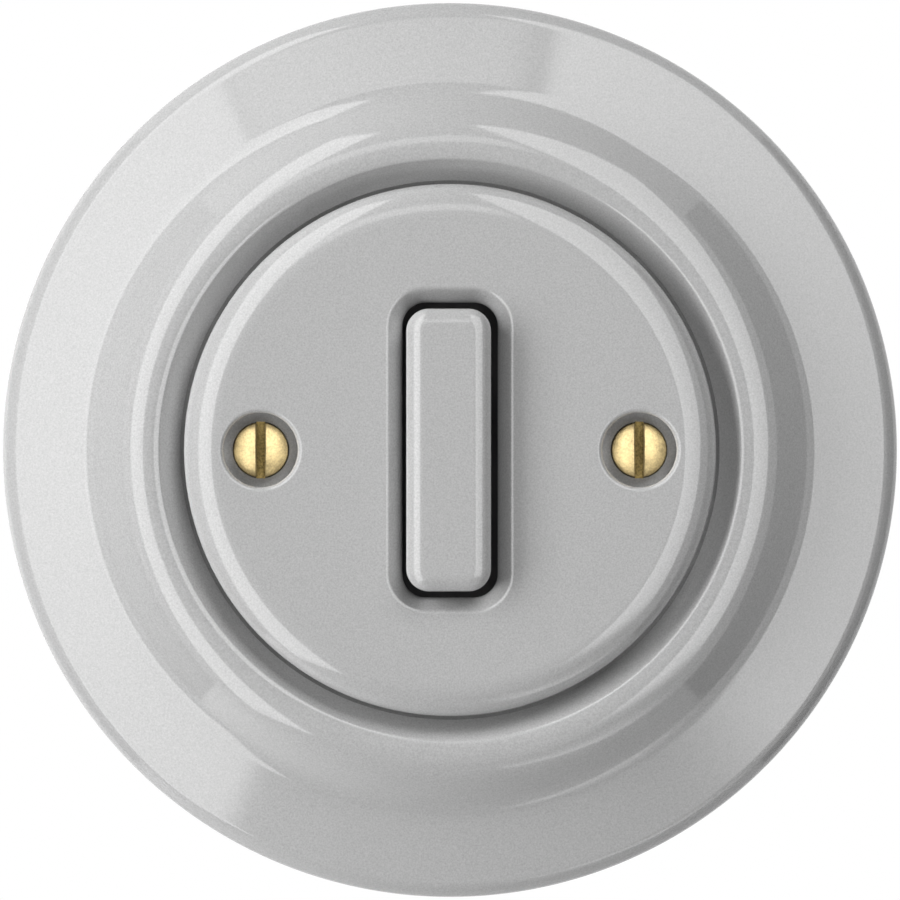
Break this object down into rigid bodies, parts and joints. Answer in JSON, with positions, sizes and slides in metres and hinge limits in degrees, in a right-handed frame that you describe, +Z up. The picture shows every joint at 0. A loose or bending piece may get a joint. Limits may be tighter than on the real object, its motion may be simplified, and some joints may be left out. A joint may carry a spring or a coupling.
{
  "type": "push-button light switch",
  "caption": "Round flush push-button light switch: glazed porcelain frame, cover disc and bar key, slotted brass screws, spring-return mechanism on a steel plate.",
  "frame": {"origin": "middle of the wall face, on the axis of the round frame", "axes": "+Y into the wall, -Y out to the room, +Z up, +X to the right as seen from the room"},
  "size_m": [0.1, 0.0388, 0.1],
  "materials": {
    "porcelain": "glossy light-grey glaze",
    "brass": "turned, bright",
    "contact_brass": "stamped strip",
    "silver": "pressed silver contact",
    "spring_steel": "drawn wire",
    "zinc_steel": "zinc plated",
    "white_plastic": "moulded, satin",
    "black_plastic": "moulded, satin"
  },
  "bodies": {
    "base": {"contact_strip_lower": "contact_brass", "contact_strip_upper": "contact_brass", "cover_disc": "porcelain", "cover_screw_left": "brass", "cover_screw_right": "brass", "fixed_contact_lower": "silver", "fixed_contact_upper": "silver", "guide_plate": "black_plastic", "housing_screws": "zinc_steel", "mechanism_housing": "black_plastic", "outer_frame": "porcelain", "pillar_left": "brass", "pillar_right": "brass", "rear_cover": "black_plastic", "return_spring_lower": "spring_steel", "return_spring_upper": "spring_steel", "support_plate": "zinc_steel", "terminal_cage_1": "zinc_steel", "terminal_cage_2": "zinc_steel", "terminal_cage_3": "zinc_steel", "terminal_cage_4": "zinc_steel", "terminal_screw_1": "zinc_steel", "terminal_screw_2": "zinc_steel", "terminal_screw_3": "zinc_steel", "terminal_screw_4": "zinc_steel"},
    "button": {"button_key": "porcelain", "button_carrier": "white_plastic", "contact_spring": "spring_steel"},
    "bridge": {"contact_bridge": "contact_brass", "moving_contact_upper": "silver", "moving_contact_lower": "silver"}
  },
  "joints": [
    {"name": "button_press", "type": "slide", "parent": "base", "child": "button", "axis": [0, 1, 0], "range_m": [0, 0.0022], "stiffness_N_per_m": 900, "springref_m": -0.004, "deforming": ["return_spring_upper", "return_spring_lower", "contact_spring"]},
    {"name": "bridge_travel", "type": "slide", "parent": "base", "child": "bridge", "axis": [0, 1, 0], "range_m": [0, 0.0014]}
  ],
  "couplings": [
    {"joint": "bridge_travel", "follows": "button_press", "ratio": 0.636}
  ]
}
